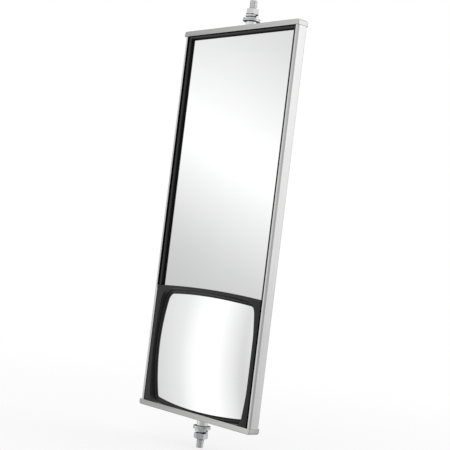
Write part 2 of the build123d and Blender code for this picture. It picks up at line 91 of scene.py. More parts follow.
class Nodes:
    """Short calls for building a node tree; a value may be a socket or a constant."""

    def __init__(self, tree):
        self.tree = tree
        tree.nodes.clear()

    def new(self, kind, inputs=None, **props):
        node = self.tree.nodes.new("ShaderNode" + kind)
        for name, value in props.items():
            setattr(node, name, value)
        for key, value in (inputs or {}).items():
            self.put(node.inputs[key], value)
        return node

    def put(self, socket, value):
        if isinstance(value, bpy.types.NodeSocket):
            self.tree.links.new(value, socket)
        elif isinstance(value, tuple) and socket.type == "RGBA" and len(value) == 3:
            socket.default_value = (*value, 1.0)
        else:
            socket.default_value = value

    def coord(self, scale=(1, 1, 1)):
        place = self.new("TexCoord").outputs["Object"]
        return self.new("Mapping", {"Scale": scale, "Vector": place}).outputs["Vector"]

    def xyz(self, vector):
        return self.new("SeparateXYZ", {0: vector}).outputs

    def noise(self, vector, scale, detail, rough, distort=0.0):
        return self.new("TexNoise", {
            "Scale": scale, "Detail": detail, "Roughness": rough, "Distortion": distort,
            "Vector": vector,
        }).outputs["Fac"]

    def span(self, value, over, to, smooth=False):
        """Maps the range `over` onto the range `to`, clamped at both ends."""
        return self.new("MapRange", {
            "Value": value, "From Min": over[0], "From Max": over[1],
            "To Min": to[0], "To Max": to[1],
        }, clamp=True, interpolation_type="SMOOTHSTEP" if smooth else "LINEAR").outputs["Result"]

    def math(self, operation, first, second=0.0):
        return self.new("Math", {0: first, 1: second}, operation=operation).outputs[0]

    def times(self, product, *factors):
        for factor in factors:
            product = self.math("MULTIPLY", product, factor)
        return product

    def blend(self, start, end, share):
        """Goes from one value to another as share goes from 0 to 1."""
        return self.math("ADD", start, self.times(share, self.math("SUBTRACT", end, start)))

    def mix(self, share, first, second, blend="MIX"):
        inputs = {0: share, 6: first, 7: second}
        return self.new("Mix", inputs, data_type="RGBA", blend_type=blend).outputs[2]

    def scaled(self, vector, factor):
        inputs = {0: vector, "Scale": factor}
        return self.new("VectorMath", inputs, operation="SCALE").outputs[0]

    def bump(self, height, strength, distance, normal=None):
        inputs = {"Strength": strength, "Distance": distance, "Height": height}
        if normal is not None:
            inputs["Normal"] = normal
        return self.new("Bump", inputs).outputs["Normal"]

    def occlusion(self, distance):
        return self.new("AmbientOcclusion", {"Distance": distance}, samples=8).outputs["AO"]

    def edges(self, radius):
        """1 on sharp edges, from the difference between the bevelled and the true normal."""
        bevel = self.new("Bevel", {"Radius": radius}, samples=4)
        true = self.new("NewGeometry")
        dot = self.new("VectorMath", {0: true.outputs["Normal"], 1: bevel.outputs["Normal"]},
                       operation="DOT_PRODUCT")
        return self.span(dot.outputs["Value"], over=(0.65, 0.98), to=(1.0, 0.0))

    def grey_ramp(self, share, stops):
        """Colour ramp through greys: stops are (position, linear value)."""
        ramp = self.new("ValToRGB", {"Fac": share})
        elements = ramp.color_ramp.elements
        while len(elements) > 1:
            elements.remove(elements[0])
        for i, (position, value) in enumerate(stops):
            stop = elements[0] if i == 0 else elements.new(position)
            stop.position = position
            stop.color = (value, value, value, 1.0)
        return ramp.outputs["Color"]

    def mix_shader(self, share, first, second):
        return self.new("MixShader", {0: share, 1: first, 2: second}).outputs[0]

    def surface(self, shader):
        self.new("OutputMaterial", {"Surface": shader})

    def principled(self, inputs):
        self.surface(self.new("BsdfPrincipled", inputs).outputs[0])


def new_material(name):
    material = bpy.data.materials.new(name)
    material.use_nodes = True
    return material, Nodes(material.node_tree)


def tint(colour, factor):
    return tuple(c * factor for c in colour)


# ---------------------------------------------------------------------------
# Materials
# ---------------------------------------------------------------------------


def brushed(name, along, base, rough, streak, painted_side_light=(1.0, 1.0)):
    """Brushed stainless: hairlines along one axis, soft mottling, brighter bends.

    streak is the contrast of the hairlines; the last argument paints light and shade at -X and +X.
    """
    material, nodes = new_material(name)
    stretched = nodes.coord({"x": (0.02, 1.0, 1.0), "z": (1.0, 1.0, 0.02)}[along])
    hair = nodes.noise(stretched, scale=900.0, detail=3.0, rough=0.7)
    band = nodes.noise(stretched, scale=60.0, detail=5.0, rough=0.6)
    blotch = nodes.noise(nodes.coord(), scale=22.0, detail=4.0, rough=0.6, distort=0.4)
    shade = nodes.times(
        nodes.span(hair, over=(0.25, 0.75), to=(1.0 - streak, 1.0 + streak * 0.6)),
        nodes.span(band, over=(0.3, 0.7), to=(1.0 - streak * 0.7, 1.0 + streak * 0.4)),
        nodes.span(blotch, over=(0.3, 0.7), to=(0.95, 1.03)),
        # painted light and shade: darker towards -X, lighter towards +X, as light falls across the
        # face
        nodes.span(nodes.xyz(nodes.coord())["X"], over=(-0.088, 0.088), to=painted_side_light),
    )
    colour = nodes.scaled(nodes.mix(1.0, base, (1, 1, 1), "MULTIPLY"), shade)
    worn = nodes.times(nodes.edges(radius=0.0006), 0.35)
    fine_relief = nodes.bump(hair, strength=0.035, distance=0.00004)
    tangent = nodes.new("CombineXYZ", {along.upper(): 1.0})
    nodes.principled({
        "Base Color": nodes.mix(worn, colour, tint(base, 1.25)),
        "Metallic": 1.0,
        "Roughness": nodes.math(
            "ADD",
            nodes.span(hair, over=(0.2, 0.8), to=(rough - 0.04, rough + 0.05)),
            nodes.span(blotch, over=(0.3, 0.7), to=(-0.03, 0.04)),
        ),
        "Anisotropic": 0.55,
        "Tangent": tangent.outputs[0],
        "Normal": nodes.bump(blotch, strength=0.05, distance=0.0006, normal=fine_relief),
    })
    return material


def zinc(name, base, rough, painted_gap_shade):
    """Bright plate: faint grain, cloudy lustre; the last argument is how dark the painted shade in
    crevices is.
    """
    material, nodes = new_material(name)
    vector = nodes.coord()
    cloud = nodes.noise(vector, scale=160.0, detail=5.0, rough=0.6, distort=0.6)
    grain = nodes.noise(vector, scale=2400.0, detail=3.0, rough=0.7)
    red, green, blue = base
    straw = (red * 1.02, green, blue * 0.97)
    bluish = (red * 0.72, green * 0.73, blue * 0.76)
    tone = nodes.mix(nodes.span(cloud, over=(0.3, 0.7), to=(0.0, 1.0)), base, straw)
    specks = nodes.times(nodes.span(grain, over=(0.45, 0.75), to=(0.0, 1.0)), 0.18)
    tone = nodes.mix(specks, tone, bluish)
    tone = nodes.mix(nodes.times(nodes.edges(radius=0.00035), 0.5), tone, (0.90, 0.91, 0.93))
    # painted shade: crevices, found by ambient occlusion, are painted near black
    if painted_gap_shade:
        painted_light_level = nodes.span(nodes.occlusion(distance=0.020), over=(0.24, 0.56),
                              to=(1.0 - 0.95 * painted_gap_shade, 1.0), smooth=True)
        tone = nodes.mix(painted_light_level, (0.035, 0.035, 0.037), tone)
    fine_relief = nodes.bump(grain, strength=0.10, distance=0.00005)
    nodes.principled({
        "Base Color": tone,
        "Metallic": 1.0,
        "Roughness": nodes.span(cloud, over=(0.25, 0.75), to=(rough - 0.07, rough + 0.09)),
        "Normal": nodes.bump(cloud, strength=0.10, distance=0.0002, normal=fine_relief),
    })
    return material


def rubber(name, base, rough, grain_scale, gloss, sunk, sunk_light, brow=None, rim=None):
    """Matt black rubber: fine pebble, faint dust, greyer worn edges.

    It is painted with shade: it darkens to sunk_light across the depths sunk (y),
    above the height brow (z), and beyond the distance rim from the middle (x).
    """
    material, nodes = new_material(name)
    vector = nodes.coord()
    pebble = nodes.noise(vector, scale=grain_scale, detail=3.0, rough=0.65)
    patch = nodes.noise(vector, scale=35.0, detail=5.0, rough=0.62, distort=0.5)
    tone = nodes.mix(nodes.span(patch, over=(0.35, 0.75), to=(0.0, 1.0)), base, tint(base, 1.55))
    dust = nodes.times(nodes.span(pebble, over=(0.55, 0.8), to=(0.0, 1.0)), 0.35)
    tone = nodes.mix(dust, tone, tint(base, 2.0))
    tone = nodes.mix(nodes.times(nodes.edges(radius=0.0005), 0.35), tone, tint(base, 2.6))

    # painted shade: folds, corners and the depths are painted darker and duller, where less light
    # would reach
    place = nodes.xyz(nodes.coord())
    painted_light_level = nodes.times(
        nodes.span(nodes.occlusion(distance=0.004), over=(0.35, 0.95), to=(0.18, 1.0),
                   smooth=True),
        nodes.span(place["Y"], over=sunk, to=(1.0, sunk_light), smooth=True),
    )
    # painted shade in the side groove beyond rim
    if rim is not None:
        beside = nodes.span(nodes.math("ABSOLUTE", place["X"]), over=(rim - 0.0002, rim + 0.0004),
                            to=(1.0, 0.06), smooth=True)
        painted_light_level = nodes.times(painted_light_level, beside)
    # painted shadow above brow, under the lip of the end cap
    if brow is not None:
        above = nodes.span(place["Z"], over=(brow - 0.0004, brow + 0.0004), to=(1.0, 0.3),
                           smooth=True)
        painted_light_level = nodes.times(painted_light_level, above)
    fine_relief = nodes.bump(pebble, strength=0.10, distance=0.00006)
    nodes.principled({
        "Base Color": nodes.mix(painted_light_level, tint(base, 0.2), tone),
        "Roughness": nodes.span(patch, over=(0.3, 0.7), to=(rough - 0.07, rough + 0.08)),
        "Specular IOR Level": nodes.times(painted_light_level, gloss),
        "Normal": nodes.bump(patch, strength=0.06, distance=0.0008, normal=fine_relief),
    })
    return material


def mirror(name, painted_reflection=None):
    """Silvered glass: near-perfect reflection under a thin coat with faint wipe marks, times a
    painted reflection tone when one is given.
    """
    material, nodes = new_material(name)
    wipe = nodes.noise(nodes.coord((1, 1, 0.35)), scale=45.0, detail=6.0, rough=0.6, distort=1.2)
    film = nodes.noise(nodes.coord(), scale=9.0, detail=3.0, rough=0.5)
    tone = nodes.mix(nodes.span(film, over=(0.35, 0.7), to=(0.0, 1.0)),
                     (0.965, 0.966, 0.97), (0.945, 0.948, 0.954))
    # painted reflection: the tone of a bright surround is multiplied into the colour
    if painted_reflection is not None:
        tone = nodes.mix(1.0, tone, painted_reflection(nodes), "MULTIPLY")
    nodes.principled({
        "Base Color": tone,
        "Metallic": 1.0,
        "Roughness": nodes.span(wipe, over=(0.4, 0.8), to=(0.012, 0.035)),
        "Coat Weight": 0.6,
        "Coat Roughness": 0.01,
    })
    return material


# painted reflection tone of the flat pane along a slanting line: mm of z + 0.35 x, 8-bit sRGB grey
PAINTED_REFLECTION_TONES = [
    (-88, 197), (-73, 200), (-58, 204), (-43, 209), (-28, 215), (-13, 222), (2, 229), (17, 235),
    (32, 242), (47, 249), (60, 254), (78, 255), (92, 254), (107, 250), (122, 245), (137, 241),
    (152, 236), (167, 232), (182, 227), (197, 222), (212, 219),
]
TONE_START, TONE_END = -100.0, 220.0


def to_linear(value):
    value = value / 255.0
    return value / 12.92 if value <= 0.04045 else ((value + 0.055) / 1.055) ** 2.4


def painted_flat_reflection(nodes):
    """Painted reflection: a slow change of tone across the pane, painted in for an uneven bright
    surround in the glass.
    """
    place = nodes.xyz(nodes.coord())
    slant = nodes.math("ADD", place["Z"], nodes.times(place["X"], 0.35))
    share = nodes.span(nodes.times(slant, 1000.0), over=(TONE_START, TONE_END), to=(0.0, 1.0))
    tone = nodes.grey_ramp(share, [
        ((at - TONE_START) / (TONE_END - TONE_START), min(1.0, to_linear(grey)))
        for at, grey in PAINTED_REFLECTION_TONES
    ])
    # the painted reflection is also a little brighter at -X than at +X
    return nodes.scaled(tone, nodes.span(place["X"], over=(-0.08, 0.08), to=(1.035, 0.965)))


def board(name):
    """Hardboard: brown, with short fibres."""
    material, nodes = new_material(name)
    fibre = nodes.noise(nodes.coord((1, 1, 0.2)), scale=300.0, detail=6.0, rough=0.7)
    nodes.principled({
        "Base Color": nodes.mix(fibre, (0.20, 0.13, 0.075), (0.40, 0.29, 0.18)),
        "Roughness": 0.8,
        "Normal": nodes.bump(fibre, strength=0.4, distance=0.0003),
    })
    return material


def foam(name):
    """Closed-cell foam: grey with small cells."""
    material, nodes = new_material(name)
    cell = nodes.new("TexVoronoi", {"Scale": 900.0, "Vector": nodes.coord()}).outputs["Distance"]
    nodes.principled({
        "Base Color": nodes.mix(cell, (0.15, 0.15, 0.16), (0.30, 0.30, 0.31)),
        "Roughness": 0.9,
        "Normal": nodes.bump(cell, strength=0.5, distance=0.0004),
    })
    return material


SHELL = brushed("shell_stainless", along="z", base=(0.60, 0.60, 0.597), rough=0.24, streak=0.06)
# the caps carry painted shade towards -X and painted light towards +X
CAP = brushed("cap_stainless", along="x", base=(0.50, 0.50, 0.496), rough=0.26, streak=0.20,
              painted_side_light=(0.84, 1.10))
# the nuts and washers carry full painted shade in their crevices, the studs a little
ZINC = zinc("zinc_plate", base=(0.62, 0.635, 0.65), rough=0.18, painted_gap_shade=1.0)
STUD = zinc("stud_zinc_plate", base=(0.73, 0.74, 0.755), rough=0.24, painted_gap_shade=0.2)
COLLAR = zinc("collar_zinc_plate", base=(0.78, 0.79, 0.81), rough=0.22, painted_gap_shade=0.0)
ALU = zinc("rivet_aluminium", base=(0.78, 0.78, 0.775), rough=0.34, painted_gap_shade=0.0)
# painted shade in the depths of both rubbers; on the gasket also a painted shadow under the top
# cap's lip
RUBBER = rubber("gasket_black", base=(0.0100, 0.0100, 0.0106), rough=0.38, grain_scale=1500.0,
                gloss=0.46, sunk=(-0.0136, -0.0125), sunk_light=0.14, brow=0.1968)
BEZEL = rubber("bezel_black", base=(0.0062, 0.0062, 0.0066), rough=0.36, grain_scale=1900.0,
               gloss=0.28, sunk=(-0.0146, -0.0110), sunk_light=0.75, rim=0.0820)
# the flat pane carries a painted reflection
FLAT = mirror("flat_silver", painted_flat_reflection)
CONVEX = mirror("convex_silver")
BOARD = board("hardboard")
FOAM = foam("grey_foam")

PAINT = {
    "back_shell": SHELL, "top_end_cap": CAP, "bottom_end_cap": CAP,
    "flat_glass": FLAT, "convex_glass": CONVEX,
    "flat_glass_gasket": RUBBER, "convex_bezel": BEZEL,
    "backing_board": BOARD, "flat_backing_pad": FOAM, "convex_backing_pad": FOAM,
    "top_cap_rivets": ALU, "bottom_cap_rivets": ALU,
    "top_collar": COLLAR, "bottom_collar": COLLAR,
}
for end in ("top", "bottom"):
    for piece in ("stud", "stud_plate", "inner_washer", "outer_washer", "lock_washer", "nut"):
        PAINT[f"{end}_{piece}"] = ZINC
for node, material in PAINT.items():
    slots = NODES[node].data.materials
    slots.clear()
    slots.append(material)

# ---------------------------------------------------------------------------
# Geometry helpers, in mm
# ---------------------------------------------------------------------------


def add_object(name, data):
    obj = bpy.data.objects.new(name, data)
    scene.collection.objects.link(obj)
    return obj


def new_mesh(name, verts, faces):
    mesh = bpy.data.meshes.new(name)
    mesh.from_pydata([(x * MM, y * MM, z * MM) for x, y, z in verts], [], faces)
    return mesh


def clean(mesh, weld, crease, wind=False):
    """Welds points closer than weld (metres), and smooths all but edges above crease degrees."""
    bm = bmesh.new()
    bm.from_mesh(mesh)
    bmesh.ops.remove_doubles(bm, verts=bm.verts, dist=weld)
    bmesh.ops.dissolve_degenerate(bm, edges=bm.edges, dist=weld)
    if wind:
        bmesh.ops.recalc_face_normals(bm, faces=bm.faces)
    for face in bm.faces:
        face.smooth = True
    for edge in bm.edges:
        is_joint = len(edge.link_faces) == 2
        edge.smooth = is_joint and edge.calc_face_angle(0.0) < math.radians(crease)
    bm.to_mesh(mesh)
    bm.free()


def add_piece(name, verts, faces, material, node, crease, glossy=True):
    """Closed piece of the head, wound outwards, in place of a CAD node."""
    mesh = new_mesh(name, verts, faces)
    clean(mesh, weld=1e-7, crease=crease, wind=True)
    mesh.validate()
    mesh.materials.append(material)
    obj = add_object(name, mesh)
    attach(obj, "head")
    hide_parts(node)
    obj.visible_glossy = glossy
    return obj


def rings_to_faces(count, n, first=0):
    """Quads between consecutive closed rings of n points."""
    faces = []
    for i in range(count - 1):
        a, b = first + i * n, first + (i + 1) * n
        for j in range(n):
            k = (j + 1) % n
            faces.append((a + j, a + k, b + k, b + j))
    return faces


def fan(centre, first, n, reverse=False):
    """Triangles from a centre point to a ring of n points."""
    pairs = [(first + j, first + (j + 1) % n) for j in range(n)]
    return [(centre, b, a) if reverse else (centre, a, b) for a, b in pairs]


def directions(count):
    """Cosine and sine of evenly spaced angles round a circle."""
    angles = [2 * math.pi * j / count for j in range(count)]
    return [(math.cos(angle), math.sin(angle)) for angle in angles]


def cut(obj, outline, y_front, y_back):
    """Cuts a prism out of a piece and applies the result; outline is (x, z)."""
    n = len(outline)
    verts = [(x, y, z) for y in (y_front, y_back) for x, z in outline]
    faces = rings_to_faces(2, n)
    faces += [tuple(reversed(range(n))), tuple(range(n, 2 * n))]
    mesh = new_mesh("cutter", verts, faces)
    bm = bmesh.new()
    bm.from_mesh(mesh)
    bmesh.ops.recalc_face_normals(bm, faces=bm.faces)
    bm.to_mesh(mesh)
    bm.free()
    cutter = add_object("cutter", mesh)

    boolean = obj.modifiers.new("cut", "BOOLEAN")
    boolean.operation = "DIFFERENCE"
    boolean.solver = "EXACT"
    boolean.object = cutter
    bpy.context.view_layer.update()
    depsgraph = bpy.context.evaluated_depsgraph_get()
    result = bpy.data.meshes.new_from_object(obj.evaluated_get(depsgraph))
    obj.modifiers.clear()
    old = obj.data
    obj.data = result
    result.name = obj.name
    bpy.data.meshes.remove(old)
    bpy.data.objects.remove(cutter)
    bpy.data.meshes.remove(mesh)
    clean(result, weld=2e-7, crease=40.0)


# ---------------------------------------------------------------------------
# Outline of the convex mirror
# ---------------------------------------------------------------------------


def sphere_y(x, z, radius):
    """Front of a sphere about the centre of the convex mirror."""
    return CONVEX_CENTRE_Y - math.sqrt(radius * radius - x * x - (z - CONVEX_Z) ** 2)


def circle_crossing(centre1, r1, centre2, r2, up):
    """Crossing of two circles on the +X side, above (up 1) or below (up -1) the mirror centre."""
    dx, dz = centre2[0] - centre1[0], centre2[1] - centre1[1]
    apart = math.hypot(dx, dz)
    along = (r1 * r1 - r2 * r2 + apart * apart) / (2 * apart)
    height = math.sqrt(r1 * r1 - along * along)
    mid_x, mid_z = centre1[0] + along * dx / apart, centre1[1] + along * dz / apart
    picks = [(mid_x + s * height * dz / apart, mid_z - s * height * dx / apart) for s in (-1, 1)]
    picks = [p for p in picks if p[0] > 0 and (p[1] - CONVEX_Z) * up > 0]
    return min(picks, key=lambda p: abs(p[1] - CONVEX_Z))


def barrel_outline():
    """Visible outline, anticlockwise seen from the front: (x, z, outward normal x, z)."""
    side = (SIDE_HALF - SIDE_R, CONVEX_Z)
    over = (0.0, TOP_MID - TOP_R)
    under = (0.0, BOTTOM_MID + BOTTOM_R)
    top = circle_crossing(side, SIDE_R - TOP_FILLET, over, TOP_R - TOP_FILLET, 1)
    bottom = circle_crossing(side, SIDE_R - BOTTOM_FILLET, under, BOTTOM_R - BOTTOM_FILLET, -1)

    def angle(centre, point):
        return math.atan2(point[1] - centre[1], point[0] - centre[0])

    # +X half, from the middle of the foot up: centre, radius, end angle, steps
    arcs = [
        (under, BOTTOM_R, angle(under, bottom), 26),
        (bottom, BOTTOM_FILLET, angle(side, bottom), 10),
        (side, SIDE_R, angle(side, top), 44),
        (top, TOP_FILLET, angle(over, top), 14),
        (over, TOP_R, math.pi / 2, 26),
    ]
    points = []
    start = -math.pi / 2
    for centre, radius, end, steps in arcs:
        closing = 1 if centre is over else 0
        for i in range(steps + closing):
            a = start + (end - start) * i / steps
            nx, nz = math.cos(a), math.sin(a)
            points.append((centre[0] + radius * nx, centre[1] + radius * nz, nx, nz))
        start = end
    return points + [(-x, z, -nx, nz) for x, z, nx, nz in points[1:-1]][::-1]


BARREL = barrel_outline()


def grown_barrel(gap):
    """The outline moved outwards by gap, as (x, z)."""
    return [(x + gap * nx, z + gap * nz) for x, z, nx, nz in BARREL]


# ---------------------------------------------------------------------------
# Gasket round the flat mirror: one moulded section, mitred at the top corners
# ---------------------------------------------------------------------------
# distance outwards from the edge of the opening, y
GASKET_SECTION = [
    (0.15, -10.76), (0.02, -10.92), (0.0, -11.1), (0.02, -11.4), (0.2, -11.65), (0.6, -12.0),
    (1.0, -12.55), (1.4, -13.15), (1.8, -13.65), (2.2, -14.0), (2.6, -14.2), (3.0, -14.24),
    (3.4, -14.12), (3.8, -13.85), (4.2, -13.4), (4.55, -12.8), (4.85, -12.1), (5.2, -11.7),
    (5.7, -11.7), (5.95, -12.2), (6.05, -14.2),
    (6.6, -14.4), (6.9, -14.35), (7.3, -13.95), (7.8, -13.4), (7.98, -13.0), (8.0, -12.0),
    (8.0, -9.3), (8.0, -6.6), (4.0, -6.6), (0.0, -6.6), (0.0, -7.1), (0.0, -7.64),
    (2.0, -7.64), (4.1, -7.64), (4.1, -9.2), (4.1, -10.76), (2.0, -10.76),
]
LEG_ROWS, TOP_COLUMNS = 34, 22


def gasket():
    # stations up the -X leg, along the top and down the +X leg: outward x and z, then x, z
    left = [(-1, int(i == LEG_ROWS), -OPEN_HALF, LEG_END + (OPEN_TOP - LEG_END) * (i / LEG_ROWS))
            for i in range(LEG_ROWS + 1)]
    top = [(0, 1, -OPEN_HALF + 2 * OPEN_HALF * i / TOP_COLUMNS, OPEN_TOP)
           for i in range(1, TOP_COLUMNS)]
    right = [(-out_x, out_z, -x, z) for out_x, out_z, x, z in reversed(left)]
    path = left + top + right
    verts = [(x + out_x * out, y, z + out_z * out)
             for out_x, out_z, x, z in path for out, y in GASKET_SECTION]
    n = len(GASKET_SECTION)
    faces = rings_to_faces(len(path), n)
    faces.append(tuple(range(n)))
    faces.append(tuple((len(path) - 1) * n + j for j in reversed(range(n))))
    add_piece("flat_mirror_gasket", verts, faces, RUBBER, "flat_glass_gasket", crease=50.0)


gasket()

# ---------------------------------------------------------------------------
# Convex mirror glass: spherical pane with a ground edge
# ---------------------------------------------------------------------------
PANE_COVER = 2.6  # how far the pane runs on behind the bezel
PANE_EDGE = 0.25  # width and depth of the front edge chamfer
PANE_BACK_EDGE = 0.2  # the back ring of the edge stands this far in front of the back sphere
PANE_RINGS = 30
PANE_BACK_SHARES = (0.985, 0.8, 0.6, 0.4, 0.2)


def pane_ring(outline, share, radius, shift=0.0):
    """Outline shrunk to a share of its size, laid on a sphere and shifted in y."""
    ring = [(x * share, CONVEX_Z + (z - CONVEX_Z) * share) for x, z in outline]
    return [(x, sphere_y(x, z, radius) + shift, z) for x, z in ring]


def convex_pane():
    back_r = CONVEX_R - CONVEX_T
    face = grown_barrel(PANE_COVER - PANE_EDGE)
    rim = grown_barrel(PANE_COVER)
    verts = [(0.0, sphere_y(0.0, CONVEX_Z, CONVEX_R), CONVEX_Z)]
    for i in range(1, PANE_RINGS + 1):
        verts += pane_ring(face, i / PANE_RINGS, CONVEX_R)
    verts += pane_ring(rim, 1.0, CONVEX_R, PANE_EDGE)
    verts += pane_ring(rim, 1.0, back_r, -PANE_BACK_EDGE)
    for share in PANE_BACK_SHARES:
        verts += pane_ring(rim, share, back_r)
    tail = len(verts)
    verts.append((0.0, sphere_y(0.0, CONVEX_Z, back_r), CONVEX_Z))
    n = len(BARREL)
    faces = fan(0, 1, n, reverse=True)
    faces += rings_to_faces((tail - 1) // n, n, first=1)
    faces += fan(tail, tail - n, n)
    add_piece("convex_mirror_pane", verts, faces, CONVEX, "convex_glass", crease=40.0)


convex_pane()

# ---------------------------------------------------------------------------
# Bezel round the convex mirror: feather lip, two soft steps, arched divider
# ---------------------------------------------------------------------------
BEZEL_BOTTOM, BEZEL_SIDE = -201.9, -73.5  # z of the foot, and of the top beside the arch
BEZEL_FACE, BEZEL_BACK = -15.3, -4.7  # y of the front face and of the back
BEZEL_BACK_GAP = 2.7
# lip and steps from the glass outwards: gap from the outline, height in front of the glass
BEZEL_LIP = [
    (BEZEL_BACK_GAP, 0.12), (1.4, 0.12), (0.05, 0.12), (0.0, 0.25), (0.04, 0.4), (0.22, 0.5),
    (1.2, 0.52), (2.0, 0.56), (2.28, 0.72), (2.4, 1.05), (2.5, 1.42), (2.75, 1.66),
    (3.2, 1.72), (4.4, 1.76), (4.78, 1.95),
]
# last step: gap from the outline, share of the way from the end of the lip to the front face
BEZEL_SHOULDER = [(4.95, 0.35), (5.02, 0.7), (5.12, 0.93), (5.4, 1.0)]
# outer rings from front to back: half width, drop of the top edge, y at the sides,
# y along the divider and the foot, which stay upright where the sides have a groove
BEZEL_OUTER = [
    (81.9, 0.55, BEZEL_FACE, BEZEL_FACE), (82.2, 0.2, -15.22, -15.22),
    (82.42, 0.05, -15.0, -15.0), (82.55, 0.0, -14.6, -14.6), (82.65, 0.0, -12.4, -13.6),
    (82.95, 0.0, -11.8, -12.8), (84.0, 0.0, -11.8, -12.0), (84.45, 0.0, -12.4, -11.4),
    (84.6, 0.0, -14.38, -10.8), (85.4, 0.0, -14.4, -9.9), (86.5, 0.0, -13.3, -8.8),
    (86.6, 0.0, -13.0, -7.0), (86.6, 0.0, BEZEL_BACK, BEZEL_BACK),
]
ARCH_STEPS, BEZEL_ROWS, BEZEL_COLUMNS = 60, 16, 24
LEDGE_XS = (79.0, 81.8)  # points on the level top beside the arch

# slot behind the divider for the foot of the flat glass
SLOT_HALF, SLOT_TOP, SLOT_STEPS = 82.5, -60.0, 40
SLOT_FRONT, SLOT_BACK = -10.8, -7.6
# its floor: drop below the top of the arch, further fall at the given half width
SLOT_DROP, SLOT_FALL, SLOT_FALL_HALF = 2.9, 2.75, 82.4
# relief behind the foot
RELIEF_HALF, RELIEF_BOTTOM, RELIEF_TOP = 40, -203, -189.9
RELIEF_FRONT, RELIEF_BACK = -6.6, 1.0


def arch_z(x):
    sag = ARCH_MID - ARCH_SIDE
    radius = (OPEN_HALF ** 2 + sag ** 2) / (2 * sag)
    return ARCH_MID - radius + math.sqrt(radius * radius - x * x)


def bezel_ring(half, drop, side_y, upright_y):
    """One outer ring, anticlockwise from the +X end of the arch."""
    top, bottom = BEZEL_SIDE - drop, BEZEL_BOTTOM
    arch = [OPEN_HALF * math.cos(math.pi * i / ARCH_STEPS) for i in range(ARCH_STEPS + 1)]
    outline = [(x, arch_z(x) - drop) for x in arch]
    outline += [(-x, top) for x in (*LEDGE_XS, half)]
    outline += [(-half, top + (bottom - top) * i / BEZEL_ROWS) for i in range(1, BEZEL_ROWS)]
    outline += [(-half + 2 * half * i / BEZEL_COLUMNS, bottom)
                for i in range(BEZEL_COLUMNS + 1)]
    outline += [(half, bottom + (top - bottom) * i / BEZEL_ROWS) for i in range(1, BEZEL_ROWS)]
    outline += [(x, top) for x in (half, *LEDGE_XS[::-1])]
    return [(x, upright_y if abs(x) < half - 0.01 else side_y, z) for x, z in outline]


def bridge(verts, outer, inner):
    """Triangles between an outline and the hole in it, taken in turn by angle."""

    def turn_of(k):
        return math.atan2(verts[k][2] - CONVEX_Z, verts[k][0])

    outer, inner = sorted(outer, key=turn_of), sorted(inner, key=turn_of)
    outer_turns = [turn_of(k) for k in outer] + [turn_of(outer[0]) + 2 * math.pi]
    inner_turns = [turn_of(k) for k in inner] + [turn_of(inner[0]) + 2 * math.pi]
    triangles, a, b = [], 0, 0
    while a < len(outer) or b < len(inner):
        outer_next = a < len(outer) and (
            b >= len(inner) or outer_turns[a + 1] <= inner_turns[b + 1])
        if outer_next:
            triangles.append((outer[a], outer[(a + 1) % len(outer)], inner[b % len(inner)]))
            a += 1
        else:
            triangles.append((inner[(b + 1) % len(inner)], inner[b], outer[a % len(outer)]))
            b += 1
    return triangles


def bezel():
    inner = [[(x, BEZEL_BACK, z) for x, z in grown_barrel(BEZEL_BACK_GAP)]]
    for gap, height in BEZEL_LIP:
        inner.append([(x, sphere_y(x, z, CONVEX_R + height), z) for x, z in grown_barrel(gap)])
    lip_r = CONVEX_R + BEZEL_LIP[-1][1]
    for gap, share in BEZEL_SHOULDER:
        ring = []
        for x, z in grown_barrel(gap):
            base = sphere_y(x, z, lip_r)
            ring.append((x, base + (BEZEL_FACE - base) * share, z))
        inner.append(ring)
    outer = [bezel_ring(*row) for row in BEZEL_OUTER]

    verts = [point for ring in inner + outer for point in ring]
    n_in, n_out = len(BARREL), len(outer[0])
    first_out = len(inner) * n_in
    faces = rings_to_faces(len(inner), n_in)
    faces += rings_to_faces(len(outer), n_out, first=first_out)
    # front face, then back
    faces += bridge(verts, range(first_out, first_out + n_out), range(first_out - n_in, first_out))
    faces += bridge(verts, range(len(verts) - n_out, len(verts)), range(n_in))
    piece = add_piece("convex_mirror_bezel", verts, faces, BEZEL, "convex_bezel", crease=40.0,
                      glossy=False)

    slot_xs = [SLOT_HALF * math.cos(math.pi * i / SLOT_STEPS) for i in range(SLOT_STEPS + 1)]
    slot = [(x, ARCH_MID - SLOT_DROP - SLOT_FALL * (x / SLOT_FALL_HALF) ** 2) for x in slot_xs]
    slot += [(-SLOT_HALF, SLOT_TOP), (SLOT_HALF, SLOT_TOP)]
    cut(piece, slot, SLOT_FRONT, SLOT_BACK)
    relief = [(-RELIEF_HALF, RELIEF_BOTTOM), (RELIEF_HALF, RELIEF_BOTTOM),
              (RELIEF_HALF, RELIEF_TOP), (-RELIEF_HALF, RELIEF_TOP)]
    cut(piece, relief, RELIEF_FRONT, RELIEF_BACK)


bezel()

# ---------------------------------------------------------------------------
# Studs: hex-head bolts with a rolled 5/16-18 thread
# ---------------------------------------------------------------------------
PITCH, MAJOR_R, THREAD_DEPTH = 25.4 / 18, 3.97, 0.84
STUD_BASE, STUD_TIP = 199.7, 233.2  # z of the top of the head, and of the point
PLAIN_NECK, RUN_IN = 0.6, 1.0  # plain length, then the length over which the thread deepens
POINT_CHAMFER = 0.95
DISH_R, DISH_EDGE, DISH_DEPTH = 2.2, 0.02, 0.12  # hollow in the point
HEX_FLAT = 6.35  # from the axis to a flat of the head
# head from its free end: largest radius, z
STUD_HEAD = [(5.9, 194.4), (6.7, 194.75), (7.4, 195.2), (7.4, 199.3), (6.9, STUD_BASE)]
STUD_SEGMENTS, ROWS_PER_TURN = 72, 12
CREST, FLANK = 0.125, 0.375  # shares of the pitch; the root is as wide as the crest


